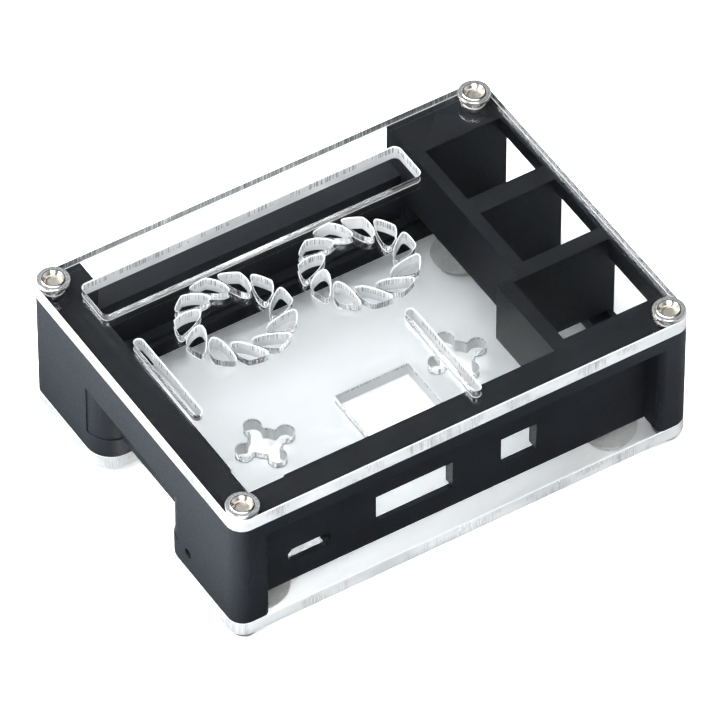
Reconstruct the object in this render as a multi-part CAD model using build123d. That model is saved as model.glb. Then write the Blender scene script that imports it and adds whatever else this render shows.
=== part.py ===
from build123d import *
import os
from math import cos, radians, sin

# A case for a credit-card-sized computer board: a black two-part frame between two
# clear plates. X runs along the case, Y from its front to its rear, Z up. The origin
# is on the table, under the middle of the case. Sizes are in millimetres.

# The board that the case is made around, as seen from above
BOARD_LENGTH = 85.0
BOARD_WIDTH = 56.0
BOARD_THICKNESS = 1.5
BOARD_CORNER_RADIUS = 3.0
BOARD_CLEARANCE = 0.1

# What the frame adds round the board
LEFT_MARGIN = 7.0
RIGHT_MARGIN = 1.2
FRONT_RECESS = 4.75
FRONT_SKIRT = 1.25
REAR_WALL = 4.85
REAR_GAP = 2.05
CORNER_RADIUS = 3.1

# Heights of the layers, from the table up
FOOT_HEIGHT = 2.2
BOTTOM_COVER_THICKNESS = 3.0
LOWER_FRAME_HEIGHT = 4.15
UPPER_FRAME_HEIGHT = 19.05
TOP_COVER_THICKNESS = 3.0

# Ledges of the lower frame, which reach under the board's edges
LEDGE_HEIGHT = 3.1
LEFT_LEDGE = 1.0
RIGHT_LEDGE = 3.1
FRONT_LEDGE = 1.0
REAR_LEDGE = 0.95

# Upper frame: front wall, corner posts and rear wall
FRONT_CLAMP = 1.05
FRONT_LIP_HEIGHT = 2.7
LEFT_POST = 6.9
RIGHT_POST = 6.6
POST_EDGE_RADIUS = 1.3
REAR_WALL_DROP = 6.8
REAR_BOSS_LENGTH = 10.3
REAR_BOSS_WIDTH = 6.05
CORNER_RELIEF = 0.35
CORNER_RELIEF_LENGTH = 6.9
BOARD_HEADROOM = 0.5

# Connector block at the right end. Centres are from the board's front edge, and
# reaches and wall feet from the board's right edge and top face.
USB_CENTRES = (29.0, 47.0)
USB_BAY_WIDTH = 14.0
USB_BAY_REACH = 16.0
USB_BAY_WALL = 2.5
USB_WALL_FOOT = 4.9
USB_OPENING_HEIGHT = 15.6
ETHERNET_CENTRE = 10.7
ETHERNET_BAY_WIDTH = 16.1
ETHERNET_BAY_REACH = 20.1
ETHERNET_BAY_WALL = 2.9
ETHERNET_WALL_FOOT = 5.3
ETHERNET_OPENING_HEIGHT = 14.1
ETHERNET_REAR_WALL = 0.9
BAY_RIM = 1.5

# Port windows in the front wall: centre from the board's left edge, width, height
# above the board's top face, and the cut across each corner
POWER_PORT = (10.6, 8.6, 3.1, 0.8)
HDMI_PORT = (32.0, 15.65, 6.4, 0)
AUDIO_PORT = (53.4, 7.25, 6.4, 0)

# Left side: the card notch, the beam over it and the status light's hole
NOTCH_CENTRE = 28.85
NOTCH_WIDTH = 20.8
NOTCH_ROUND = 5.0
NOTCH_SETBACK = 0.25
NOTCH_BACK_WALL = 2.7
BEAM_HEIGHT = 8.1
BOTTOM_NOTCH_DEPTH = 10.0
LIGHT_HOLE = 2.0
LIGHT_HOLE_CENTRE = 10.15

# Ejector mark on the upper frame's top face, from its right and rear edges
EJECTOR_MARK = 1.7
EJECTOR_MARK_INSET = (11.2, 1.6)
EJECTOR_MARK_DEPTH = 0.3

# Fasteners, one set at each corner
FASTENER_INSET_X = 3.2
FASTENER_INSET_Y = 3.0
SCREW_DIAMETER = 2.5
SCREW_HEAD_DIAMETER = 5.0
SCREW_HEAD_HEIGHT = 1.5
SCREW_TIP_DEPTH = 0.9
SCREW_HOLE_CLEARANCE = 0.2
DRIVE_LENGTH = 2.6
DRIVE_WIDTH = 0.6
DRIVE_DEPTH = 0.8
THREAD_CLEARANCE = 0.05
NUT_HEAD_DIAMETER = 6.0
NUT_HEAD_HEIGHT = 1.0
NUT_BOWL_DIAMETER = 3.7
NUT_SLEEVE_DIAMETER = 3.8
NUT_SLEEVE_LENGTH = 10.0
NUT_HOLE_CLEARANCE = 0.1

# Top cover: the header slot, placed from the board's rear and left edges
HEADER_SLOT_LENGTH = 65.1
HEADER_SLOT_WIDTH = 8.45
HEADER_SLOT_RADIUS = 1.2
HEADER_SLOT_CENTRE = (32.15, 3.63)

# Top cover: two thin slots and two rings of curved vents, placed from the board's
# left and front edges
THIN_SLOT_WIDTH = 1.7
LEFT_SLOT_LENGTH = 20.9
LEFT_SLOT_CENTRE = (1.3, 29.95)
RIGHT_SLOT_LENGTH = 22.8
RIGHT_SLOT_CENTRE = (45.0, 10.25)
VENT_RING_CENTRES = ((18.7, 36.0), (44.0, 36.0))
VENT_COUNT = 11
VENT_OUTER_RADIUS = 10.6
VENT_INNER_RADIUS = 6.2
VENT_OUTER_ANGLES = (22.5, 44.0)
VENT_INNER_ANGLES = (1.0, 17.0)
VENT_TRAILING_BOW = 0.7
VENT_LEADING_BOW = 0.3
VENT_TIP_RADIUS = 0.6
VENT_ROOT_CUT = 0.5

# Bottom cover: a window and two four-way cut-outs, placed as in the top cover
WINDOW_LENGTH = 15.1
WINDOW_WIDTH = 15.1
WINDOW_CENTRE = (43.25, 23.1)
CROSS_CENTRES = ((19.7, 28.15), (59.5, 28.15))
CROSS_HUB = 6.0
CROSS_ARM_WIDTH = 2.5
CROSS_BULB = 3.2
CROSS_ARM_REACH = 4.2

# Feet: stick-on bumpers, placed as in the top cover
FOOT_DIAMETER = 10.6
FOOT_BASE_DIAMETER = 8.4
FOOT_CENTRES = ((2.6, 2.05), (73.9, 1.65), (73.9, 50.15), (3.1, 50.45))

# Worked out: the case's outline and the board's edges
FRONT_MARGIN = FRONT_RECESS + FRONT_SKIRT
REAR_MARGIN = REAR_GAP + REAR_WALL
CASE_LENGTH = LEFT_MARGIN + BOARD_LENGTH + RIGHT_MARGIN
CASE_WIDTH = FRONT_MARGIN + BOARD_WIDTH + REAR_MARGIN
LEFT, RIGHT = -CASE_LENGTH / 2, CASE_LENGTH / 2
FRONT, REAR = -CASE_WIDTH / 2, CASE_WIDTH / 2
BOARD_LEFT, BOARD_RIGHT = LEFT + LEFT_MARGIN, RIGHT - RIGHT_MARGIN
BOARD_FRONT, BOARD_REAR = FRONT + FRONT_MARGIN, REAR - REAR_MARGIN

# Worked out: heights above the table
Z_BOTTOM_COVER = FOOT_HEIGHT
Z_LOWER_FRAME = Z_BOTTOM_COVER + BOTTOM_COVER_THICKNESS
Z_SEAM = Z_LOWER_FRAME + LOWER_FRAME_HEIGHT
Z_TOP_COVER = Z_SEAM + UPPER_FRAME_HEIGHT
Z_TOP = Z_TOP_COVER + TOP_COVER_THICKNESS
Z_BOARD = Z_LOWER_FRAME + LEDGE_HEIGHT
Z_BOARD_TOP = Z_BOARD + BOARD_THICKNESS

# Worked out: places in the upper frame
WALL_FRONT = FRONT + FRONT_RECESS
WALL_BACK = BOARD_FRONT + FRONT_CLAMP
REAR_WALL_FACE = REAR - REAR_WALL
USB_BAY_LEFT = BOARD_RIGHT - USB_BAY_REACH
USB_BLOCK_LEFT = USB_BAY_LEFT - USB_BAY_WALL
ETHERNET_BAY_LEFT = BOARD_RIGHT - ETHERNET_BAY_REACH
ETHERNET_BLOCK_LEFT = ETHERNET_BAY_LEFT - ETHERNET_BAY_WALL
ETHERNET_REAR = BOARD_FRONT + ETHERNET_CENTRE + ETHERNET_BAY_WIDTH / 2 + ETHERNET_REAR_WALL

FASTENER_PLACES = [
    (x, y)
    for x in (LEFT + FASTENER_INSET_X, RIGHT - FASTENER_INSET_X)
    for y in (FRONT + FASTENER_INSET_Y, REAR - FASTENER_INSET_Y)
]


def from_board(place):
    """A place given from the board's left and front edges, in the case's frame."""
    return (BOARD_LEFT + place[0], BOARD_FRONT + place[1])


def area(left, right, front, rear):
    """A rectangle in plan between four edges."""
    return Pos((left + right) / 2, (front + rear) / 2) * Rectangle(right - left, rear - front)


def layer(sketch, low, high):
    """A plan outline made solid between two heights."""
    return Pos(0, 0, low) * extrude(sketch, high - low)


def case_outline():
    return RectangleRounded(CASE_LENGTH, CASE_WIDTH, CORNER_RADIUS)


def board_outline(clearance):
    length = BOARD_LENGTH + 2 * clearance
    width = BOARD_WIDTH + 2 * clearance
    middle = ((BOARD_LEFT + BOARD_RIGHT) / 2, (BOARD_FRONT + BOARD_REAR) / 2)
    return Pos(*middle) * RectangleRounded(length, width, BOARD_CORNER_RADIUS + clearance)


def round_holes(diameter):
    """A round hole at each fastener."""
    return [Pos(x, y) * Circle(diameter / 2) for x, y in FASTENER_PLACES]


def notch_outline(depth, setback):
    """The card notch in plan. Its mouth widens in two quarter rounds, whose surface
    stands back by the setback."""
    middle = BOARD_FRONT + NOTCH_CENTRE
    front, rear = middle - NOTCH_WIDTH / 2, middle + NOTCH_WIDTH / 2
    mouth = area(LEFT, LEFT + NOTCH_ROUND, front - NOTCH_ROUND, rear + NOTCH_ROUND)
    for y in (front - NOTCH_ROUND, rear + NOTCH_ROUND):
        mouth -= Pos(LEFT + NOTCH_ROUND, y) * Circle(NOTCH_ROUND - setback)
    mouth &= area(LEFT, LEFT + depth, front - NOTCH_ROUND, rear + NOTCH_ROUND)
    return mouth + area(LEFT, LEFT + depth, front - setback, rear + setback)


def light_hole():
    """The status light's hole, on the seam of the two frames."""
    centre = (BOARD_FRONT + LIGHT_HOLE_CENTRE, Z_SEAM)
    length = LEFT_MARGIN + LEFT_LEDGE
    return extrude(Plane.YZ.offset(LEFT) * Pos(*centre) * Circle(LIGHT_HOLE / 2), length)


def vent():
    """One curved vent of a ring, as the fan blade that it follows."""

    def corner(radius, angle):
        return (radius * cos(radians(angle)), radius * sin(radians(angle)))

    trailing_out, leading_out = [corner(VENT_OUTER_RADIUS, a) for a in VENT_OUTER_ANGLES]
    trailing_in, leading_in = [corner(VENT_INNER_RADIUS, a) for a in VENT_INNER_ANGLES]
    crown = corner(VENT_OUTER_RADIUS, sum(VENT_OUTER_ANGLES) / 2)
    edges = [
        SagittaArc(trailing_in, trailing_out, -VENT_TRAILING_BOW),
        ThreePointArc(trailing_out, crown, leading_out),
        SagittaArc(leading_out, leading_in, -VENT_LEADING_BOW),
        Line(leading_in, trailing_in),
    ]
    outline = make_face(edges)
    root = outline.vertices().filter_by(lambda v: Vector(v).length < VENT_OUTER_RADIUS - 1)
    outline = chamfer(root, VENT_ROOT_CUT)
    tip = outline.vertices().sort_by(Axis.Y)[-1]
    return fillet(tip, VENT_TIP_RADIUS)


def vent_rings():
    blade = vent()
    turns = PolarLocations(0, VENT_COUNT)
    rings = [Pos(*from_board(centre)) for centre in VENT_RING_CENTRES]
    return [ring * turn * blade for ring in rings for turn in turns]


def top_cover():
    header_x = BOARD_LEFT + HEADER_SLOT_CENTRE[0]
    header_y = BOARD_REAR - HEADER_SLOT_CENTRE[1]
    header = RectangleRounded(HEADER_SLOT_LENGTH, HEADER_SLOT_WIDTH, HEADER_SLOT_RADIUS)
    plate = case_outline() - Pos(header_x, header_y) * header
    for centre, length in (
        (LEFT_SLOT_CENTRE, LEFT_SLOT_LENGTH),
        (RIGHT_SLOT_CENTRE, RIGHT_SLOT_LENGTH),
    ):
        plate -= Pos(*from_board(centre)) * Rot(0, 0, 90) * SlotOverall(length, THIN_SLOT_WIDTH)
    plate -= vent_rings()
    plate -= round_holes(NUT_SLEEVE_DIAMETER + NUT_HOLE_CLEARANCE)
    return layer(plate, Z_TOP_COVER, Z_TOP)


def cross():
    """One four-way cut-out: a round hub with a bulb at the end of each arm."""
    outline = Circle(CROSS_HUB / 2)
    outline += Rectangle(2 * CROSS_ARM_REACH, CROSS_ARM_WIDTH)
    outline += Rectangle(CROSS_ARM_WIDTH, 2 * CROSS_ARM_REACH)
    outline += [place * Circle(CROSS_BULB / 2) for place in PolarLocations(CROSS_ARM_REACH, 4)]
    return outline


def bottom_cover():
    plate = case_outline() - notch_outline(BOTTOM_NOTCH_DEPTH, 0)
    plate -= Pos(*from_board(WINDOW_CENTRE)) * Rectangle(WINDOW_LENGTH, WINDOW_WIDTH)
    plate -= [Pos(*from_board(centre)) * cross() for centre in CROSS_CENTRES]
    plate -= round_holes(SCREW_DIAMETER + SCREW_HOLE_CLEARANCE)
    return layer(plate, Z_BOTTOM_COVER, Z_LOWER_FRAME)


def front_bay():
    """The hollow between the front posts, in plan, with its outer edges rounded."""
    left, right = LEFT + LEFT_POST, RIGHT - RIGHT_POST
    radius = POST_EDGE_RADIUS
    bay = area(left, right, FRONT, WALL_FRONT)
    bay += area(left - radius, right + radius, FRONT, FRONT + radius)
    for x in (left - radius, right + radius):
        bay -= Pos(x, FRONT + radius) * Circle(radius)
    return bay


def lower_frame():
    inside = area(
        BOARD_LEFT + LEFT_LEDGE,
        BOARD_RIGHT - RIGHT_LEDGE,
        BOARD_FRONT + FRONT_LEDGE,
        BOARD_REAR - REAR_LEDGE,
    )
    skirt_room = area(LEFT + LEFT_POST, RIGHT - RIGHT_POST, FRONT, BOARD_FRONT)
    ring = case_outline() - inside - front_bay() - skirt_room
    ring -= notch_outline(LEFT_MARGIN + LEFT_LEDGE, 0)
    ring -= round_holes(SCREW_DIAMETER + SCREW_HOLE_CLEARANCE)
    frame = layer(ring, Z_LOWER_FRAME, Z_SEAM)
    frame -= layer(board_outline(BOARD_CLEARANCE), Z_BOARD, Z_SEAM)
    return frame - light_hole()


def port_window(centre, width, height, cut):
    """The way through the front wall for one connector of the board."""
    outline = Rectangle(width, height)
    if cut:
        outline = chamfer(outline.vertices(), cut)
    middle = Pos(BOARD_LEFT + centre, Z_BOARD_TOP + height / 2)
    return extrude(Plane.XZ.offset(-WALL_BACK) * middle * outline, WALL_BACK - WALL_FRONT)


def bay_outlines():
    """Each connector bay in plan, with the height that its right opening has."""
    bays = [
        (centre, USB_BAY_WIDTH, USB_BAY_LEFT, USB_OPENING_HEIGHT)
        for centre in USB_CENTRES
    ]
    bays.append((ETHERNET_CENTRE, ETHERNET_BAY_WIDTH, ETHERNET_BAY_LEFT, ETHERNET_OPENING_HEIGHT))
    for centre, width, left, height in bays:
        front = BOARD_FRONT + centre - width / 2
        well = area(left, RIGHT - BAY_RIM, front, front + width)
        opening = area(left, RIGHT, front, front + width)
        yield well, opening, height


def interior():
    """The hollow over the board, in plan, left of the connector block."""
    room = area(BOARD_LEFT, ETHERNET_BLOCK_LEFT, WALL_BACK, REAR_WALL_FACE)
    room += area(ETHERNET_BLOCK_LEFT, USB_BLOCK_LEFT, ETHERNET_REAR, REAR_WALL_FACE)
    room -= area(LEFT, LEFT + REAR_BOSS_LENGTH, REAR - REAR_BOSS_WIDTH, REAR)
    relief = area(
        BOARD_LEFT - CORNER_RELIEF,
        BOARD_LEFT + CORNER_RELIEF_LENGTH,
        WALL_BACK - CORNER_RELIEF,
        BOARD_FRONT + CORNER_RELIEF_LENGTH,
    )
    return room + relief


def under_block():
    """The room over the board that stays free under the block's walls."""
    over_board = area(ETHERNET_BLOCK_LEFT, BOARD_RIGHT, WALL_BACK, BOARD_REAR)
    reach = over_board & board_outline(BOARD_CLEARANCE)
    room = layer(reach, Z_SEAM, Z_BOARD_TOP + BOARD_HEADROOM)
    ethernet = area(ETHERNET_BLOCK_LEFT, ETHERNET_BAY_LEFT, WALL_BACK, ETHERNET_REAR)
    room += layer(ethernet, Z_SEAM, Z_BOARD_TOP + ETHERNET_WALL_FOOT)
    usb = area(USB_BLOCK_LEFT, USB_BAY_LEFT, ETHERNET_REAR, BOARD_REAR)
    return room + layer(usb, Z_SEAM, Z_BOARD_TOP + USB_WALL_FOOT)


def upper_frame():
    plan = case_outline() - interior()
    frame = layer(plan, Z_SEAM, Z_TOP_COVER)
    frame -= layer(front_bay(), Z_SEAM, Z_TOP_COVER - FRONT_LIP_HEIGHT)
    rear_opening = area(LEFT + REAR_BOSS_LENGTH, USB_BLOCK_LEFT, REAR_WALL_FACE, REAR)
    frame -= layer(rear_opening, Z_TOP_COVER - REAR_WALL_DROP, Z_TOP_COVER)
    notch = notch_outline(LEFT_MARGIN - NOTCH_BACK_WALL, NOTCH_SETBACK)
    frame -= layer(notch, Z_SEAM, Z_TOP_COVER - BEAM_HEIGHT)
    frame -= under_block()
    for well, opening, height in bay_outlines():
        frame -= layer(well, Z_SEAM, Z_TOP_COVER)
        frame -= layer(opening, Z_SEAM, Z_BOARD_TOP + height)

    # The front wall's skirt goes down past the seam and in front of the board's edge
    skirt = area(
        LEFT + LEFT_POST + BOARD_CLEARANCE,
        RIGHT - RIGHT_POST - BOARD_CLEARANCE,
        WALL_FRONT,
        BOARD_FRONT - BOARD_CLEARANCE,
    )
    frame += layer(skirt, Z_LOWER_FRAME, Z_SEAM)
    frame -= layer(board_outline(BOARD_CLEARANCE), Z_SEAM, Z_BOARD_TOP)
    for port in (POWER_PORT, HDMI_PORT, AUDIO_PORT):
        frame -= port_window(*port)
    frame -= light_hole()
    for x, y in FASTENER_PLACES:
        frame -= fastener_hole(x, y)
    mark = (RIGHT - EJECTOR_MARK_INSET[0], REAR - EJECTOR_MARK_INSET[1])
    pit = Pos(*mark) * Circle(EJECTOR_MARK / 2)
    return frame - layer(pit, Z_TOP_COVER - EJECTOR_MARK_DEPTH, Z_TOP_COVER)


def fastener_hole(x, y):
    """The hole down a corner post: wide for the nut's sleeve, then the screw's own."""
    screw = Circle((SCREW_DIAMETER + SCREW_HOLE_CLEARANCE) / 2)
    sleeve = Circle((NUT_SLEEVE_DIAMETER + NUT_HOLE_CLEARANCE) / 2)
    sleeve_end = Z_TOP - NUT_SLEEVE_LENGTH - NUT_HOLE_CLEARANCE
    hole = layer(screw, Z_SEAM, Z_TOP_COVER) + layer(sleeve, sleeve_end, Z_TOP_COVER)
    return Pos(x, y) * hole


def turned(points):
    """A solid turned about the Z axis from its half section."""
    section = make_face(Polyline(*points, close=True))
    return revolve(Plane.XZ * section, Axis.Z)


def sleeve_nut(x, y):
    """A flanged nut on a threaded sleeve, its head on the top cover."""
    bore = SCREW_DIAMETER / 2 + THREAD_CLEARANCE
    head = NUT_HEAD_DIAMETER / 2
    bowl = NUT_BOWL_DIAMETER / 2
    sleeve = NUT_SLEEVE_DIAMETER / 2
    top = NUT_HEAD_HEIGHT
    nut = turned([
        (bore, -NUT_SLEEVE_LENGTH),
        (sleeve, -NUT_SLEEVE_LENGTH),
        (sleeve, 0),
        (head, 0),
        (head, top),
        (bowl, top),
        (bore, top - (bowl - bore)),
    ])
    return Pos(x, y, Z_TOP) * nut


def case_screw(x, y):
    """A long screw from below, its pan head under the bottom cover."""
    shank = SCREW_DIAMETER / 2
    head = SCREW_HEAD_DIAMETER / 2
    tip = Z_TOP + NUT_HEAD_HEIGHT - SCREW_TIP_DEPTH - Z_BOTTOM_COVER
    screw = turned([
        (0, -SCREW_HEAD_HEIGHT),
        (head, -SCREW_HEAD_HEIGHT),
        (head, 0),
        (shank, 0),
        (shank, tip),
        (0, tip),
    ])
    drive = Rectangle(DRIVE_LENGTH, DRIVE_WIDTH) + Rectangle(DRIVE_WIDTH, DRIVE_LENGTH)
    screw -= layer(drive, -SCREW_HEAD_HEIGHT, -SCREW_HEAD_HEIGHT + DRIVE_DEPTH)
    return Pos(x, y, Z_BOTTOM_COVER) * screw


def foot(x, y):
    """A round rubber bumper, wide where it sticks to the bottom cover."""
    bumper = turned([
        (0, 0),
        (FOOT_BASE_DIAMETER / 2, 0),
        (FOOT_DIAMETER / 2, FOOT_HEIGHT),
        (0, FOOT_HEIGHT),
    ])
    return Pos(x, y) * bumper


def save(name, solid):
    export_step(solid, f"parts/{name}.step")


os.makedirs("parts", exist_ok=True)
save("top_cover", top_cover())
save("upper_frame", upper_frame())
save("lower_frame", lower_frame())
save("bottom_cover", bottom_cover())
for number, (x, y) in enumerate(FASTENER_PLACES, 1):
    save(f"sleeve_nut_{number}", sleeve_nut(x, y))
    save(f"case_screw_{number}", case_screw(x, y))
for number, centre in enumerate(FOOT_CENTRES, 1):
    save(f"foot_{number}", foot(*from_board(centre)))
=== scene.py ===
from math import atan2, cos, degrees, pi, radians, sin, sqrt

import bmesh
import bpy
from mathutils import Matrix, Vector


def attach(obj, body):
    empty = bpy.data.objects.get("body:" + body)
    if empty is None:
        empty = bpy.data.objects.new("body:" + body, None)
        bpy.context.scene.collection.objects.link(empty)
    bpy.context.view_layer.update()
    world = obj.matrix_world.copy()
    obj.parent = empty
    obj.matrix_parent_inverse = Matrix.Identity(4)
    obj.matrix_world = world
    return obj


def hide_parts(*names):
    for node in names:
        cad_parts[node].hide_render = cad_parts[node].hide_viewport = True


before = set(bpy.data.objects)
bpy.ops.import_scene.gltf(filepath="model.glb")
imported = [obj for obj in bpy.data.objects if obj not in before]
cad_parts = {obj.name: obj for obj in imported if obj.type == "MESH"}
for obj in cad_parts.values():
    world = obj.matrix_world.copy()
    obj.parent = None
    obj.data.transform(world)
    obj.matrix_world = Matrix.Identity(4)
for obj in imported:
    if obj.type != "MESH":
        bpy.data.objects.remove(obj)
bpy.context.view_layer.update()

# Sizes are in millimetres, in the part's own frame, and MM turns them into metres
MM = 0.001

# Outline and heights, as in the part's source
CASE_LENGTH, CASE_WIDTH, CORNER_RADIUS = 93.2, 68.9, 3.1
LEFT, RIGHT = -CASE_LENGTH / 2, CASE_LENGTH / 2
FRONT, REAR = -CASE_WIDTH / 2, CASE_WIDTH / 2
BOARD_LEFT, BOARD_FRONT, BOARD_REAR = LEFT + 7.0, FRONT + 6.0, REAR - 6.9
Z_BOTTOM_COVER, Z_LOWER_FRAME, Z_TOP_COVER, Z_TOP = 2.2, 5.2, 28.4, 31.4

# Fasteners and feet
FASTENER_PLACES = [(x, y) for x in (LEFT + 3.2, RIGHT - 3.2) for y in (FRONT + 3.0, REAR - 3.0)]
NUT_HEAD_RADIUS, NUT_HEAD_HEIGHT, NUT_BOWL_RADIUS = 3.0, 1.0, 1.85
NUT_SLEEVE_RADIUS, NUT_SLEEVE_LENGTH, NUT_BORE = 1.9, 10.0, 1.3
SCREW_RADIUS, SCREW_HEAD_RADIUS, SCREW_HEAD_HEIGHT, SCREW_TIP_DEPTH = 1.25, 2.5, 1.5, 0.9
THREAD_DEPTH, THREAD_PITCH = 0.16, 0.45
SLEEVE_HOLE, SCREW_HOLE = 1.95, 1.35
FOOT_CENTRES = [(2.6, 2.05), (73.9, 1.65), (73.9, 50.15), (3.1, 50.45)]
FOOT_RADIUS, FOOT_BASE_RADIUS, FOOT_BASE_ROUND, FOOT_HEIGHT = 5.3, 4.2, 0.5, 2.2

# Cut-outs of the two clear covers
HEADER_SLOT = (32.15, 3.63, 65.1, 8.45, 1.2)
THIN_SLOTS = [(1.3, 29.95, 20.9), (45.0, 10.25, 22.8)]
THIN_SLOT_WIDTH = 1.7
VENT_RING_CENTRES = [(18.7, 36.0), (44.0, 36.0)]
VENT_COUNT, VENT_OUTER, VENT_INNER = 11, 10.6, 6.2
VENT_OUTER_ANGLES, VENT_INNER_ANGLES = (22.5, 44.0), (1.0, 17.0)
VENT_TRAILING_BOW, VENT_LEADING_BOW, VENT_TIP_RADIUS, VENT_ROOT_RADIUS = 0.7, 0.3, 0.6, 0.8
NOTCH_CENTRE, NOTCH_WIDTH, NOTCH_ROUND, NOTCH_DEPTH = 28.85, 20.8, 5.0, 10.0
WINDOW = (43.25, 23.1, 15.1, 15.1)
CROSS_CENTRES = [(19.7, 28.15), (59.5, 28.15)]
CROSS_HUB, CROSS_ARM, CROSS_BULB, CROSS_REACH = 3.0, 1.25, 1.6, 4.2

# What only the render needs: eased edges, the air between touching pieces, the depth of
# the nuts' flat ring below their raised rim, and the turn in degrees from point to point
COVER_EASE, FRAME_EASE = 0.15, 0.16
AIR = 0.02
NUT_RING_DEPTH, NUT_RIM_WIDTH = 0.12, 0.42
ARC_STEP, CORNER_STEP = 4.0, 6.0

# A cover's materials: its faces, its eased corners, its cut edges and holes on the camera's
# side, and, away from the camera, its hole walls, its slots' walls and its rear edges
POLISHED, RIM, OUTER_CUT, HOLE_CUT, FAR_CUT, SLOT_CUT, REAR_CUT = range(7)
LYING_SLOPE, EASED_SLOPE = 0.9, 0.3

# In plan, the way from the photograph's camera over the case
CAMERA_WAY = (0.53, 0.85)


# Node helpers

def new_material(name):
    m = bpy.data.materials.new(name)
    m.use_nodes = True
    nt = m.node_tree
    shader = nt.nodes["Principled BSDF"]
    return m, nt, shader


def node(nt, kind, **settings):
    n = nt.nodes.new(kind)
    for key, value in settings.items():
        setattr(n, key, value)
    return n


def object_coordinates(nt, scale):
    """Object coordinates times a scale for each axis, in turns per metre."""
    coordinates = node(nt, "ShaderNodeTexCoord")
    mapping = node(nt, "ShaderNodeMapping")
    mapping.inputs["Scale"].default_value = scale
    nt.links.new(coordinates.outputs["Object"], mapping.inputs["Vector"])
    return mapping.outputs["Vector"]


def noise(nt, scale, detail=3.0, roughness=0.5):
    n = node(nt, "ShaderNodeTexNoise")
    n.inputs["Scale"].default_value = 1.0
    n.inputs["Detail"].default_value = detail
    n.inputs["Roughness"].default_value = roughness
    nt.links.new(object_coordinates(nt, scale), n.inputs["Vector"])
    return n.outputs["Fac"]


def spread(nt, value, low, high, to_low, to_high):
    """Value taken from one range to another, and held there."""
    n = node(nt, "ShaderNodeMapRange")
    for key, number in (
        ("From Min", low),
        ("From Max", high),
        ("To Min", to_low),
        ("To Max", to_high),
    ):
        n.inputs[key].default_value = number
    nt.links.new(value, n.inputs["Value"])
    return n.outputs["Result"]


def product(nt, a, b):
    n = node(nt, "ShaderNodeMath", operation="MULTIPLY")
    nt.links.new(a, n.inputs[0])
    nt.links.new(b, n.inputs[1])
    return n.outputs[0]


def two_colours(nt, value, dark, light):
    ramp = node(nt, "ShaderNodeValToRGB")
    ramp.color_ramp.elements[0].color = (*dark, 1)
    ramp.color_ramp.elements[1].color = (*light, 1)
    nt.links.new(value, ramp.inputs["Fac"])
    return ramp.outputs["Color"]


def bump(nt, height, distance, strength):
    n = node(nt, "ShaderNodeBump")
    n.inputs["Distance"].default_value = distance
    n.inputs["Strength"].default_value = strength
    nt.links.new(height, n.inputs["Height"])
    return n.outputs["Normal"]


def mixed(nt, factor, under, over):
    """Two colours mixed, each of them a grey level or a node's output."""
    mix = node(nt, "ShaderNodeMix", data_type="RGBA")
    nt.links.new(factor, mix.inputs[0])
    for socket, value in ((mix.inputs[6], under), (mix.inputs[7], over)):
        if isinstance(value, float):
            socket.default_value = (value, value, value, 1)
        else:
            nt.links.new(value, socket)
    return mix.outputs[2]


def position(nt):
    """The point's own x, y and z, in metres."""
    place = node(nt, "ShaderNodeSeparateXYZ")
    nt.links.new(object_coordinates(nt, (1, 1, 1)), place.inputs["Vector"])
    return [place.outputs[axis] for axis in "XYZ"]


# Materials

# The noise's scales for the upright lines that the laser leaves, and the acrylic's index
CUT_LINES = (4600, 4600, 60)
ACRYLIC_IOR = 1.49


def black_abs():
    m, nt, shader = new_material("moulded_abs")
    grain = noise(nt, (4200, 4200, 4200), 2.0)
    cloud = noise(nt, (90, 90, 90), 2.0)
    speckle = product(nt, cloud, spread(nt, grain, 0.35, 0.65, 0.3, 1.7))
    colour = two_colours(nt, speckle, (0.0020, 0.0030, 0.0055), (0.0100, 0.0125, 0.0180))
    nt.links.new(colour, shader.inputs["Base Color"])
    nt.links.new(spread(nt, grain, 0.35, 0.65, 0.42, 0.66), shader.inputs["Roughness"])
    nt.links.new(bump(nt, grain, 0.00004, 0.8), shader.inputs["Normal"])
    shader.inputs["IOR"].default_value = 1.50
    return m


def clear_acrylic():
    """The covers' polished faces, with the faintest haze and waviness."""
    m, nt, shader = new_material("polished_acrylic")
    haze = noise(nt, (70, 70, 70), 3.0)
    shader.inputs["Base Color"].default_value = (0.985, 0.992, 0.995, 1)
    shader.inputs["Transmission Weight"].default_value = 1.0
    shader.inputs["IOR"].default_value = ACRYLIC_IOR
    nt.links.new(spread(nt, haze, 0.4, 0.75, 0.0, 0.03), shader.inputs["Roughness"])
    nt.links.new(bump(nt, haze, 0.000004, 0.3), shader.inputs["Normal"])
    return m


def edge_shader(name, dull, bright, grain=0.5):
    """What all the laser-cut edges share: a cloudy white and a fine upright grain."""
    m, nt, shader = new_material(name)
    cloud = spread(nt, noise(nt, (90, 90, 260), 3.0), 0.35, 0.65, 0.0, 1.0)
    nt.links.new(two_colours(nt, cloud, dull, bright), shader.inputs["Base Color"])
    fine = noise(nt, (3000, 3000, 80), 2.0, 0.6)
    nt.links.new(bump(nt, fine, 0.00003, grain), shader.inputs["Normal"])
    shader.inputs["IOR"].default_value = ACRYLIC_IOR
    return m, nt, shader


def cut_lines(nt, low, high, least):
    """Fine upright lines, strong in some patches of the edge and faint in others."""
    lines = spread(nt, noise(nt, CUT_LINES, 2.0, 0.6), 0.38, 0.66, 0.0, 1.0)
    patches = spread(nt, noise(nt, (190, 190, 190), 2.0), low, high, least, 1.0)
    return product(nt, lines, patches)


def below(nt, top, depth, above_value, below_value):
    """A value that changes at a depth below a plate's top face."""
    level, blur = top - depth, 0.2
    _, _, z = position(nt)
    return spread(nt, z, (level - blur) * MM, (level + blur) * MM, below_value, above_value)


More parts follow.
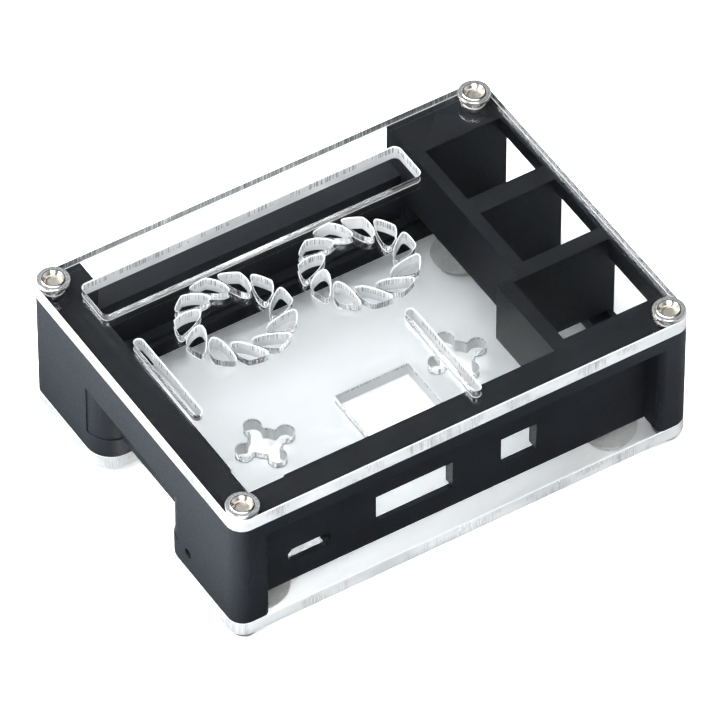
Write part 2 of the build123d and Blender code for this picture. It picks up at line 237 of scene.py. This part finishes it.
def milky_edge(name, top, depth, dull, bright, patches, clearest):
    """A cut edge that is milky white, with clear upright lines in a band below the top face."""
    m, nt, shader = edge_shader(name, dull, bright)
    clear = product(nt, cut_lines(nt, *patches), below(nt, top, depth, 1.0, 0.1))
    nt.links.new(spread(nt, clear, 0.0, 1.0, 0.1, clearest), shader.inputs["Transmission Weight"])
    nt.links.new(spread(nt, clear, 0.0, 1.0, 0.38, 0.14), shader.inputs["Roughness"])
    return m


def streaked_edge(name, dull, bright, patches, ground, lined):
    """A cut edge with upright lines, and a transmission for the ground and for the lines."""
    m, nt, shader = edge_shader(name, dull, bright)
    lines = cut_lines(nt, *patches)
    nt.links.new(spread(nt, lines, 0.0, 1.0, ground, lined), shader.inputs["Transmission Weight"])
    nt.links.new(spread(nt, lines, 0.0, 1.0, 0.16, 0.36), shader.inputs["Roughness"])
    return m


def reflection_banded_edge(name, top, depth, dull, bright):
    """A cut edge that is clear down to a depth, and below it dull grey: a painted reflection of the
    bright slot wall in the cover's underside.
    """
    m, nt, shader = edge_shader(name, dull, bright, 0.12)
    upper = below(nt, top, depth, 1.0, 0.0)
    # Painted reflection: the grey below the depth stands for the bright wall's reflection in the
    # cover's underside
    nt.links.new(two_colours(nt, upper, dull, bright), shader.inputs["Base Color"])
    nt.links.new(spread(nt, upper, 0.0, 1.0, 0.25, 0.92), shader.inputs["Transmission Weight"])
    lines = noise(nt, CUT_LINES, 2.0)
    nt.links.new(spread(nt, lines, 0.4, 0.6, 0.10, 0.2), shader.inputs["Roughness"])
    return m


def painted_highlight_rim():
    """The thin near-white line on each edge that the cutting melted round: a painted highlight."""
    m, nt, shader = new_material("painted_highlight_rim")
    cloud = noise(nt, (700, 700, 700), 2.0)
    # Painted highlight: a near-white colour makes the bright line along each eased edge
    colour = two_colours(nt, cloud, (0.94, 0.95, 0.96), (0.99, 0.99, 0.99))
    nt.links.new(colour, shader.inputs["Base Color"])
    nt.links.new(spread(nt, cloud, 0.3, 0.7, 0.3, 0.5), shader.inputs["Roughness"])
    nt.links.new(bump(nt, cloud, 0.00001, 0.5), shader.inputs["Normal"])
    shader.inputs["Transmission Weight"].default_value = 0.1
    shader.inputs["IOR"].default_value = ACRYLIC_IOR
    return m


def nickel():
    m, nt, shader = new_material("nickel_plate")
    wear = noise(nt, (900, 900, 900), 3.0)
    colour = two_colours(nt, wear, (0.66, 0.62, 0.57), (0.90, 0.87, 0.82))
    nt.links.new(colour, shader.inputs["Base Color"])
    nt.links.new(spread(nt, wear, 0.3, 0.7, 0.14, 0.28), shader.inputs["Roughness"])
    fine = noise(nt, (5000, 5000, 5000), 2.0)
    nt.links.new(bump(nt, fine, 0.000006, 0.5), shader.inputs["Normal"])
    shader.inputs["Metallic"].default_value = 1.0
    return m


def nickel_face():
    """The nuts' flat ring, rougher and mottled."""
    m, nt, shader = new_material("nickel_face")
    mottle = noise(nt, (2600, 2600, 2600), 3.0, 0.7)
    patches = spread(nt, mottle, 0.38, 0.62, 0.0, 1.0)
    colour = two_colours(nt, patches, (0.30, 0.32, 0.35), (0.80, 0.82, 0.84))
    nt.links.new(colour, shader.inputs["Base Color"])
    nt.links.new(spread(nt, mottle, 0.3, 0.7, 0.5, 0.3), shader.inputs["Roughness"])
    nt.links.new(bump(nt, mottle, 0.00003, 0.6), shader.inputs["Normal"])
    shader.inputs["Metallic"].default_value = 0.9
    return m


def screw_steel():
    m, nt, shader = new_material("zinc_steel")
    wear = noise(nt, (1400, 1400, 1400), 2.0)
    colour = two_colours(nt, wear, (0.62, 0.58, 0.52), (0.82, 0.78, 0.71))
    nt.links.new(colour, shader.inputs["Base Color"])
    nt.links.new(spread(nt, wear, 0.3, 0.7, 0.3, 0.45), shader.inputs["Roughness"])
    nt.links.new(bump(nt, wear, 0.000006, 0.4), shader.inputs["Normal"])
    shader.inputs["Metallic"].default_value = 0.9
    return m


def clear_rubber():
    m, nt, shader = new_material("soft_clear_rubber")
    cloud = noise(nt, (300, 300, 300), 3.0)
    colour = two_colours(nt, cloud, (0.97, 0.96, 0.93), (1.0, 0.99, 0.97))
    nt.links.new(colour, shader.inputs["Base Color"])
    nt.links.new(spread(nt, cloud, 0.3, 0.7, 0.18, 0.34), shader.inputs["Roughness"])
    nt.links.new(bump(nt, noise(nt, (2500, 2500, 2500)), 0.00001, 0.3), shader.inputs["Normal"])
    shader.inputs["Transmission Weight"].default_value = 0.05
    shader.inputs["IOR"].default_value = 1.42
    return m


# Outlines in plan: lists of (x, y) points, the inside on the left of their way round

def arc(centre, radius, start, end, step=ARC_STEP):
    """Points on an arc, from a start angle to an end angle in degrees."""
    count = max(2, int(abs(end - start) / step + 0.999) + 1)
    angles = [start + (end - start) * i / (count - 1) for i in range(count)]
    x, y = centre
    return [(x + radius * cos(radians(a)), y + radius * sin(radians(a))) for a in angles]


def rounded_box(x, y, length, width, radius):
    points = []
    for sx, sy, start in ((1, -1, -90), (1, 1, 0), (-1, 1, 90), (-1, -1, 180)):
        centre = (x + sx * (length / 2 - radius), y + sy * (width / 2 - radius))
        points += arc(centre, radius, start, start + 90, CORNER_STEP)
    return points


def circle(centre, radius, step=ARC_STEP):
    return arc(centre, radius, 0, 360, step)[:-1]


def cross(centre):
    """A round hub with a bulb at the end of each of its four arms."""
    hub = degrees(atan2(CROSS_ARM, sqrt(CROSS_HUB ** 2 - CROSS_ARM ** 2)))
    bulb = 180 - degrees(atan2(CROSS_ARM, sqrt(CROSS_BULB ** 2 - CROSS_ARM ** 2)))
    points = []
    for turn in (0, 90, 180, 270):
        a = radians(turn)
        middle = (centre[0] + CROSS_REACH * cos(a), centre[1] + CROSS_REACH * sin(a))
        points += arc(middle, CROSS_BULB, turn - bulb, turn + bulb, CORNER_STEP)
        points += arc(centre, CROSS_HUB, turn + hub, turn + 90 - hub, CORNER_STEP)
    return points


def bowed(start, end, bow):
    """Points between two ends on an arc that stands out to the right of their line by the bow."""
    a, b = Vector(start), Vector(end)
    chord = b - a
    side = Vector((chord.y, -chord.x)).normalized()
    radius = (chord.length ** 2 / 4 + bow ** 2) / (2 * bow)
    centre = (a + b) / 2 - side * (radius - bow)
    from_angle = degrees(atan2(*(a - centre).yx))
    to_angle = degrees(atan2(*(b - centre).yx))
    turn = (to_angle - from_angle + 180) % 360 - 180
    return arc(centre, radius, from_angle, from_angle + turn)


def rounded(points, corner, radius):
    """A closed line with the corner nearest to a point rounded off, by a bent line of points."""
    near = min(range(len(points)), key=lambda i: (Vector(points[i]) - Vector(corner)).length)
    points = points[near:] + points[:near]
    tip = Vector(points[0])
    pieces, sharpest = 8, 0.3

    def cut(line, reach):
        """Where a line that leaves the tip passes a distance, and what is left of it."""
        for i in range(len(line) - 1):
            a, b = Vector(line[i]), Vector(line[i + 1])
            if (b - tip).length > reach:
                share = (reach - (a - tip).length) / ((b - tip).length - (a - tip).length)
                return a.lerp(b, share), line[i + 1:]

    half = (Vector(points[1]) - tip).angle(Vector(points[-1]) - tip) / 2
    reach = radius / max(sharpest, sin(half) / cos(half))
    out, rest = cut(points, reach)
    back, rest = cut([points[0]] + rest[::-1], reach)
    shares = [i / pieces for i in range(pieces + 1)]
    curve = [tuple(back * (1 - t) ** 2 + tip * 2 * t * (1 - t) + out * t ** 2) for t in shares]
    return curve + rest[::-1]


def vent(centre, turn):
    """One curved vent of a ring, as the fan blade that it follows."""

    def corner(radius, angle):
        return (radius * cos(radians(angle)), radius * sin(radians(angle)))

    trailing_out, leading_out = [corner(VENT_OUTER, a) for a in VENT_OUTER_ANGLES]
    trailing_in, leading_in = [corner(VENT_INNER, a) for a in VENT_INNER_ANGLES]
    points = bowed(trailing_in, trailing_out, VENT_TRAILING_BOW)[:-1]
    points += arc((0, 0), VENT_OUTER, *VENT_OUTER_ANGLES)[:-1]
    points += bowed(leading_out, leading_in, VENT_LEADING_BOW)
    for place, radius in (
        (trailing_in, VENT_ROOT_RADIUS),
        (leading_in, VENT_ROOT_RADIUS),
        (leading_out, VENT_TIP_RADIUS),
    ):
        points = rounded(points, place, radius)
    c, s = cos(radians(turn)), sin(radians(turn))
    return [(centre[0] + x * c - y * s, centre[1] + x * s + y * c) for x, y in points]


def case_outline():
    return rounded_box(0, 0, CASE_LENGTH, CASE_WIDTH, CORNER_RADIUS)


def notched_outline():
    """The case's outline with the card notch between its rear left and front left corners."""
    middle = BOARD_FRONT + NOTCH_CENTRE
    front, rear = middle - NOTCH_WIDTH / 2, middle + NOTCH_WIDTH / 2
    notch = arc((LEFT + NOTCH_ROUND, rear + NOTCH_ROUND), NOTCH_ROUND, 180, 270)
    notch += [(LEFT + NOTCH_DEPTH, rear), (LEFT + NOTCH_DEPTH, front)]
    notch += arc((LEFT + NOTCH_ROUND, front - NOTCH_ROUND), NOTCH_ROUND, 90, 180)
    corners = case_outline()
    last_corner = 3 * len(corners) // 4
    return corners[:last_corner] + notch + corners[last_corner:]


# Meshes

def eased(points, inset):
    """The outline moved to the left of its way round, into the solid."""
    count, least_share = len(points), 0.5
    out = []
    for i in range(count):
        a, b, c = Vector(points[i - 1]), Vector(points[i]), Vector(points[(i + 1) % count])
        before, after = (b - a).normalized(), (c - b).normalized()
        left = Vector((-before.y, before.x)) + Vector((-after.y, after.x))
        left.normalize()
        share = max(least_share, left.dot(Vector((-after.y, after.x))))
        out.append(b + left * (inset / share))
    return out


def cover_look(face, on_outline, on_slot):
    """Which of a cover's materials a face takes, by its slope and the side that it looks to."""
    slope = abs(face.normal.z)
    middle = face.calc_center_median() / MM
    away = face.normal.x * CAMERA_WAY[0] + face.normal.y * CAMERA_WAY[1] > 0
    right_or_notch = middle.x > LEFT + CORNER_RADIUS and abs(middle.y) < REAR - CORNER_RADIUS
    if slope > LYING_SLOPE:
        return POLISHED
    if slope > EASED_SLOPE:
        return RIM
    if on_outline and not away:
        return OUTER_CUT
    if on_outline and not right_or_notch:
        return REAR_CUT
    if not away:
        return HOLE_CUT
    return SLOT_CUT if on_slot else FAR_CUT


def plate(name, outline, slots, holes, low, high):
    """A plate with upright edges, whose corners are eased top and bottom."""
    bm = bmesh.new()
    caps = {low: [], high: []}
    on_outline, on_slot = set(), set()
    for points in [outline] + [hole[::-1] for hole in slots + holes]:
        inner = eased(points, COVER_EASE)
        rows = []
        for loop, z in (
            (inner, low),
            (points, low + COVER_EASE),
            (points, high - COVER_EASE),
            (inner, high),
        ):
            rows.append([bm.verts.new((p[0] * MM, p[1] * MM, z * MM)) for p in loop])
        for lower, upper in zip(rows, rows[1:]):
            for i in range(len(points)):
                j = (i + 1) % len(points)
                face = bm.faces.new((lower[i], lower[j], upper[j], upper[i]))
                if points is outline:
                    on_outline.add(face)
                elif points[::-1] in slots:
                    on_slot.add(face)
        for row, z in ((rows[0], low), (rows[-1], high)):
            for i in range(len(row)):
                caps[z].append(bm.edges.get((row[i], row[(i + 1) % len(row)])))
    for z in (low, high):
        bmesh.ops.triangle_fill(bm, edges=caps[z], use_beauty=True, normal=(0, 0, 1))
    bmesh.ops.recalc_face_normals(bm, faces=bm.faces)
    for face in bm.faces:
        face.material_index = cover_look(face, face in on_outline, face in on_slot)
    return finished(bm, name)


def turned(name, rings, centre, segments=64, closed=True):
    """A round piece turned from (radius, height) rings, listed up one side and down the other."""
    bm = bmesh.new()
    rows = []
    for radius, z in rings:
        if radius == 0:
            rows.append([bm.verts.new((centre[0] * MM, centre[1] * MM, z * MM))])
            continue
        rows.append([
            bm.verts.new((
                (centre[0] + radius * cos(2 * pi * i / segments)) * MM,
                (centre[1] + radius * sin(2 * pi * i / segments)) * MM,
                z * MM,
            ))
            for i in range(segments)
        ])
    pairs = list(zip(rows, rows[1:]))
    if closed:
        pairs.append((rows[-1], rows[0]))
    for a, b in pairs:
        for i in range(segments):
            j = (i + 1) % segments
            if len(a) == 1 and len(b) == 1:
                break
            if len(a) == 1:
                bm.faces.new((a[0], b[j], b[i]))
            elif len(b) == 1:
                bm.faces.new((a[i], a[j], b[0]))
            else:
                bm.faces.new((a[i], a[j], b[j], b[i]))
    bmesh.ops.recalc_face_normals(bm, faces=bm.faces)
    return finished(bm, name)


def finished(bm, name, sharp=32):
    mesh = bpy.data.meshes.new(name)
    bm.to_mesh(mesh)
    bm.free()
    mesh.polygons.foreach_set("use_smooth", [True] * len(mesh.polygons))
    mesh.set_sharp_from_angle(angle=radians(sharp))
    piece = bpy.data.objects.new(name, mesh)
    bpy.context.scene.collection.objects.link(piece)
    return piece


def belongs(piece, materials, slot_name, *nodes):
    for material in materials:
        piece.data.materials.append(material)
    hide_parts(*nodes)
    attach(piece, "root")


# Pieces

def from_board(x, y):
    return (BOARD_LEFT + x, BOARD_FRONT + y)


def top_plate():
    x, y, length, width, radius = HEADER_SLOT
    slots = [rounded_box(BOARD_LEFT + x, BOARD_REAR - y, length, width, radius)]
    # Just under half the width, so that no two points of an end fall together
    end_radius = THIN_SLOT_WIDTH / 2 - 0.001
    for x, y, length in THIN_SLOTS:
        slots.append(rounded_box(*from_board(x, y), THIN_SLOT_WIDTH, length, end_radius))
    holes = []
    for centre in VENT_RING_CENTRES:
        holes += [vent(from_board(*centre), 360 * i / VENT_COUNT) for i in range(VENT_COUNT)]
    holes += [circle(place, SLEEVE_HOLE) for place in FASTENER_PLACES]
    return plate("top_plate", case_outline(), slots, holes, Z_TOP_COVER + AIR, Z_TOP)


def bottom_plate():
    x, y, length, width = WINDOW
    x, y = from_board(x, y)
    corners = ((-1, -1), (1, -1), (1, 1), (-1, 1))
    holes = [[(x + sx * length / 2, y + sy * width / 2) for sx, sy in corners]]
    holes += [cross(from_board(*centre)) for centre in CROSS_CENTRES]
    holes += [circle(place, SCREW_HOLE) for place in FASTENER_PLACES]
    low, high = Z_BOTTOM_COVER + AIR, Z_LOWER_FRAME - AIR
    return plate("bottom_plate", notched_outline(), [], holes, low, high)


def moulded(name, node_name):
    """The frame's own mesh with its outer edges eased, as they come out of a mould."""
    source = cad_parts[node_name]
    bm = bmesh.new()
    bm.from_mesh(source.data)
    bmesh.ops.remove_doubles(bm, verts=bm.verts, dist=0.000002)
    bmesh.ops.dissolve_limit(
        bm, angle_limit=radians(1), verts=bm.verts, edges=bm.edges, use_dissolve_boundaries=False)
    piece = finished(bm, name)
    ease = piece.modifiers.new("ease", "BEVEL")
    ease.width = FRAME_EASE * MM
    ease.segments = 2
    ease.limit_method = "ANGLE"
    ease.angle_limit = radians(40)
    ease.harden_normals = True
    return piece


def sleeve_nut(number, place):
    """A flanged nut: its sleeve, its head with a flat ring, and a bowl down to its bore."""
    low, seat, top = Z_TOP - NUT_SLEEVE_LENGTH, Z_TOP + AIR, Z_TOP + NUT_HEAD_HEIGHT
    ring, rim = top - NUT_RING_DEPTH, NUT_BOWL_RADIUS + NUT_RIM_WIDTH
    chamfer, edge = 0.15, 0.08
    sleeve = [
        (NUT_SLEEVE_RADIUS - chamfer, low),
        (NUT_SLEEVE_RADIUS, low + chamfer),
        (NUT_SLEEVE_RADIUS, seat),
    ]
    head = [
        (NUT_HEAD_RADIUS - edge, seat),
        (NUT_HEAD_RADIUS, seat + edge),
        (NUT_HEAD_RADIUS, top - 0.3),
        (NUT_HEAD_RADIUS - 0.05, top - 0.2),
        (NUT_HEAD_RADIUS - 0.15, ring),
        (rim, ring),
    ]
    bowl = [
        (NUT_BOWL_RADIUS + 0.3, top - 0.03),
        (NUT_BOWL_RADIUS + 0.22, top),
        (NUT_BOWL_RADIUS + 0.06, top - 0.02),
        (NUT_BOWL_RADIUS - 0.02, top - 0.12),
        (NUT_BORE + 0.2, top - 0.5),
        (NUT_BORE + 0.08, top - 0.62),
        (NUT_BORE, top - 0.75),
        (NUT_BORE, low),
    ]
    piece = turned(f"nut_{number}", sleeve + head + bowl, place)
    for face in piece.data.polygons:
        flat = face.normal.z > 0.99
        if flat and (face.center.xy / MM - Vector(place)).length > rim:
            face.material_index = 1
    return piece


def case_screw(number, place):
    """A screw from below: a button head with a socket, and a thread of turned ridges."""
    tip = Z_TOP + NUT_HEAD_HEIGHT - SCREW_TIP_DEPTH
    low = Z_BOTTOM_COVER - SCREW_HEAD_HEIGHT
    core, crest = SCREW_RADIUS - THREAD_DEPTH, SCREW_RADIUS
    socket = [(0, low + 0.5), (0.55, low + 0.35), (0.7, low)]
    head = [
        (SCREW_HEAD_RADIUS - 0.5, low + 0.06),
        (SCREW_HEAD_RADIUS - 0.12, low + 0.5),
        (SCREW_HEAD_RADIUS, low + 0.9),
        (SCREW_HEAD_RADIUS, Z_BOTTOM_COVER),
    ]
    thread = [(crest, Z_BOTTOM_COVER)]
    z = Z_BOTTOM_COVER + 0.4
    while z < tip - 0.5:
        thread += [(crest, z), (core, z + THREAD_PITCH / 2)]
        z += THREAD_PITCH
    end = [(crest, tip - 0.45), (crest - 0.05, tip - 0.2), (core - 0.05, tip), (0, tip)]
    return turned(f"screw_{number}", socket + head + thread + end, place, 48, closed=False)


def foot(number, place):
    """A tapered bumper that stands on a ring round its slightly raised middle."""
    curve, top = FOOT_BASE_ROUND, FOOT_HEIGHT - AIR
    flat = FOOT_BASE_RADIUS - curve
    base = [(0, AIR), (flat - 0.15, AIR), (flat, 0)]
    side = [
        (flat + curve * sin(radians(a)), curve - curve * cos(radians(a)))
        for a in range(15, 76, 15)
    ]
    rim = [(FOOT_RADIUS - 0.05, top - 0.12), (FOOT_RADIUS, top), (0, top)]
    return turned(f"bumper_{number}", base + side + rim, place, closed=False)


WHITE, SOFT_WHITE, GREY_WHITE = (0.985, 0.99, 0.99), (0.86, 0.88, 0.89), (0.68, 0.71, 0.73)
# A brownish grey for the slots' near walls, a painted reflection of the bright wall in the cover's
# underside
PAINTED_REFLECTION_GREY = (0.30, 0.28, 0.27)

abs_look = [black_abs()]
# The eased edges take the painted highlight rim
polished, rim = clear_acrylic(), painted_highlight_rim()
outer_cut = streaked_edge("cut_edge_outer", GREY_WHITE, SOFT_WHITE, (0.5, 0.66, 0.0), 0.15, 0.6)
far_cut = streaked_edge("cut_edge_far", SOFT_WHITE, WHITE, (0.3, 0.6, 0.1), 0.97, 0.65)
# The slots' near walls: clear above, with a painted reflection as a grey band below
slot_cut = reflection_banded_edge("cut_edge_slot_painted_reflection", Z_TOP, 1.7, PAINTED_REFLECTION_GREY, WHITE)
top_hole_cut = milky_edge(
    "cut_edge_top_hole", Z_TOP, 1.5, GREY_WHITE, WHITE, (0.30, 0.56, 0.2), 0.75)
bottom_hole_cut = milky_edge(
    "cut_edge_bottom_hole", Z_LOWER_FRAME, 0.6, WHITE, WHITE, (0.3, 0.52, 0.5), 0.6)
rear_cut = streaked_edge("cut_edge_rear", GREY_WHITE, WHITE, (0.3, 0.6, 0.1), 0.88, 0.5)
top_look = [polished, rim, outer_cut, top_hole_cut, far_cut, slot_cut, rear_cut]
bottom_look = [polished, rim, outer_cut, bottom_hole_cut, far_cut, far_cut, rear_cut]
nut_look = [nickel(), nickel_face()]
screw_look = [screw_steel()]
foot_look = [clear_rubber()]

belongs(top_plate(), top_look, "clear_acrylic", "top_cover")
belongs(bottom_plate(), bottom_look, "clear_acrylic", "bottom_cover")
belongs(moulded("upper_shell", "upper_frame"), abs_look, "black_abs", "upper_frame")
belongs(moulded("lower_shell", "lower_frame"), abs_look, "black_abs", "lower_frame")
for i, place in enumerate(FASTENER_PLACES, 1):
    belongs(sleeve_nut(i, place), nut_look, "nickel", f"sleeve_nut_{i}")
    belongs(case_screw(i, place), screw_look, "screw_steel", f"case_screw_{i}")
for i, place in enumerate(FOOT_CENTRES, 1):
    belongs(foot(i, from_board(*place)), foot_look, "clear_rubber", f"foot_{i}")


# Floor: its colour for light, for the camera, and through the covers from left to right, both
# behind the port wall and in front of it; that fall to the right through the covers is painted
# shade.
# In mirrored rays its colour is a painted reflection: bright inside the case and past its left
# side, dark in front and dim past the right side.
FLOOR_COLOUR, FLOOR_SEEN, PAINTED_REFLECTION_INSIDE = 0.82, 2.2, 2.0
PAINTED_SHADE_FLOOR_THROUGH, PAINTED_SHADE_FLOOR_THROUGH_FRONT = (1.95, 1.55), (2.6, 1.1)
PAINTED_REFLECTION_FLOOR = [
    (-0.075, (0.86, 0.93, 1.00)),
    (-0.045, (0.07, 0.08, 0.09)),
    (0.030, (0.07, 0.08, 0.09)),
    (0.070, (0.40, 0.42, 0.46)),
]
MIRRORED_REACH = 0.1

# Where the floor changes from in front of the port wall to behind it, and to the case's rear
FLOOR_WALL, FLOOR_REAR = (-0.029, -0.027), (0.004, 0.012)


def floor_material():
    """A pale floor, white where the camera sees it and bright where it shows through the covers,
    with painted shade darkening it to the right there and a painted reflection set by place in
    mirrored rays.
    """
    m = bpy.data.materials.new("floor")
    m.use_nodes = True
    nt = m.node_tree
    nt.nodes.remove(nt.nodes["Principled BSDF"])
    light = node(nt, "ShaderNodeLightPath")
    x, y, _ = position(nt)
    edge, blur = (CASE_LENGTH / 2 - 0.6) * MM, 0.002
    across = node(nt, "ShaderNodeValToRGB")
    nt.links.new(spread(nt, x, -MIRRORED_REACH, MIRRORED_REACH, 0.0, 1.0), across.inputs["Fac"])
    stops = across.color_ramp.elements
    while len(stops) < len(PAINTED_REFLECTION_FLOOR):
        stops.new(0.5)
    for stop, (at, colour) in zip(stops, PAINTED_REFLECTION_FLOOR):
        stop.position = (at + MIRRORED_REACH) / (2 * MIRRORED_REACH)
        stop.color = (*colour, 1)
    behind_wall = spread(nt, y, *FLOOR_WALL, 0.0, 1.0)
    inside = product(nt, spread(nt, x, -edge, blur - edge, 0.0, 1.0), behind_wall)
    inside = product(nt, inside, spread(nt, x, edge - blur, edge, 1.0, 0.0))
    inside = product(nt, inside, spread(nt, y, *FLOOR_REAR, 1.0, 0.0))
    # Painted reflection: what the black frame's faces mirror, bright inside the case and past the
    # left side, dark in front
    mirrored = mixed(nt, inside, across.outputs["Color"], PAINTED_REFLECTION_INSIDE)
    unmirrored = spread(nt, light.outputs["Glossy Depth"], 0.0, 1.0, 1.0, 0.0)
    # Painted shade: through the covers the floor darkens from left to right
    through = mixed(
        nt, behind_wall,
        spread(nt, x, -edge, edge, *PAINTED_SHADE_FLOOR_THROUGH_FRONT),
        spread(nt, x, -edge, edge, *PAINTED_SHADE_FLOOR_THROUGH))
    shade = mixed(nt, light.outputs["Is Camera Ray"], FLOOR_COLOUR, FLOOR_SEEN)
    shade = mixed(nt, light.outputs["Is Glossy Ray"], shade, mirrored)
    seen_through = product(nt, light.outputs["Is Transmission Ray"], unmirrored)
    shade = mixed(nt, seen_through, shade, through)
    shader = node(nt, "ShaderNodeBsdfDiffuse")
    nt.links.new(shade, shader.inputs["Color"])
    nt.links.new(shader.outputs["BSDF"], nt.nodes["Material Output"].inputs["Surface"])
    return m


def floor():
    bm = bmesh.new()
    bmesh.ops.create_grid(bm, x_segments=1, y_segments=1, size=3.0)
    mesh = bpy.data.meshes.new("floor")
    bm.to_mesh(mesh)
    bm.free()
    piece = bpy.data.objects.new("floor", mesh)
    bpy.context.scene.collection.objects.link(piece)
    mesh.materials.append(floor_material())


floor()


# Lights

COOL_WHITE = (0.96, 0.985, 1.0)


def area_light(name, place, aim, size, watts, colour=(1, 1, 1)):
    data = bpy.data.lights.new(name, "AREA")
    data.shape = "RECTANGLE"
    data.size, data.size_y = size
    data.energy = watts
    data.color = colour
    lamp = bpy.data.objects.new(name, data)
    lamp.location = place
    lamp.rotation_euler = (Vector(aim) - Vector(place)).to_track_quat("-Z", "Y").to_euler()
    bpy.context.scene.collection.objects.link(lamp)


area_light("overhead", (-0.3, -0.05, 1.25), (0, 0, 0), (1.3, 1.2), 18.0, COOL_WHITE)
area_light("rear_key", (-0.5, 0.6, 0.9), (0, 0, 0), (0.6, 0.6), 11.0, COOL_WHITE)
area_light("left_side", (-1.2, 0.3, 0.45), (0, 0, 0.02), (0.8, 0.8), 5.0)
area_light("front_left", (-0.5, -0.9, 1.1), (0, 0, 0.02), (1.0, 0.7), 9.0)
area_light("front_low", (-0.4, -1.2, 0.45), (0, 0, 0.02), (1.2, 0.6), 1.5)


# The world's strength round the horizon and overhead, and the rise between which it changes,
# as the z of the way that a ray goes
WALLS, CEILING, WALLS_TOP, CEILING_EDGE = 0.9, 0.02, 0.25, 0.6


def studio():
    """Pale walls round the horizon under a dim ceiling."""
    world = bpy.data.worlds.new("studio")
    world.use_nodes = True
    nt = world.node_tree
    coordinates = node(nt, "ShaderNodeTexCoord")
    separate = node(nt, "ShaderNodeSeparateXYZ")
    nt.links.new(coordinates.outputs["Generated"], separate.inputs["Vector"])
    strength = spread(nt, separate.outputs["Z"], WALLS_TOP, CEILING_EDGE, WALLS, CEILING)
    nt.links.new(strength, nt.nodes["Background"].inputs["Strength"])
    nt.nodes["Background"].inputs["Color"].default_value = (1, 1, 1, 1)
    return world


scene = bpy.context.scene
scene.world = studio()
scene.view_settings.view_transform = "Standard"

# Camera, at the photograph's view

CAMERA_AZIMUTH, CAMERA_ELEVATION, CAMERA_LENS = -32.01, 46.527, 474.0
CAMERA_TARGET, CAMERA_DISTANCE = (-0.07, 0.12, 15.42), 1658.3

azimuth, elevation = radians(CAMERA_AZIMUTH), radians(CAMERA_ELEVATION)
back = Vector((
    sin(azimuth) * cos(elevation),
    -cos(azimuth) * cos(elevation),
    sin(elevation),
))
camera_data = bpy.data.cameras.new("camera")
camera_data.lens = CAMERA_LENS
camera_data.sensor_width = 36.0
camera_data.clip_start, camera_data.clip_end = 0.1, 20.0
camera = bpy.data.objects.new("camera", camera_data)
camera.location = (Vector(CAMERA_TARGET) + back * CAMERA_DISTANCE) * MM
camera.rotation_euler = back.to_track_quat("Z", "Y").to_euler()
scene.collection.objects.link(camera)
scene.camera = camera
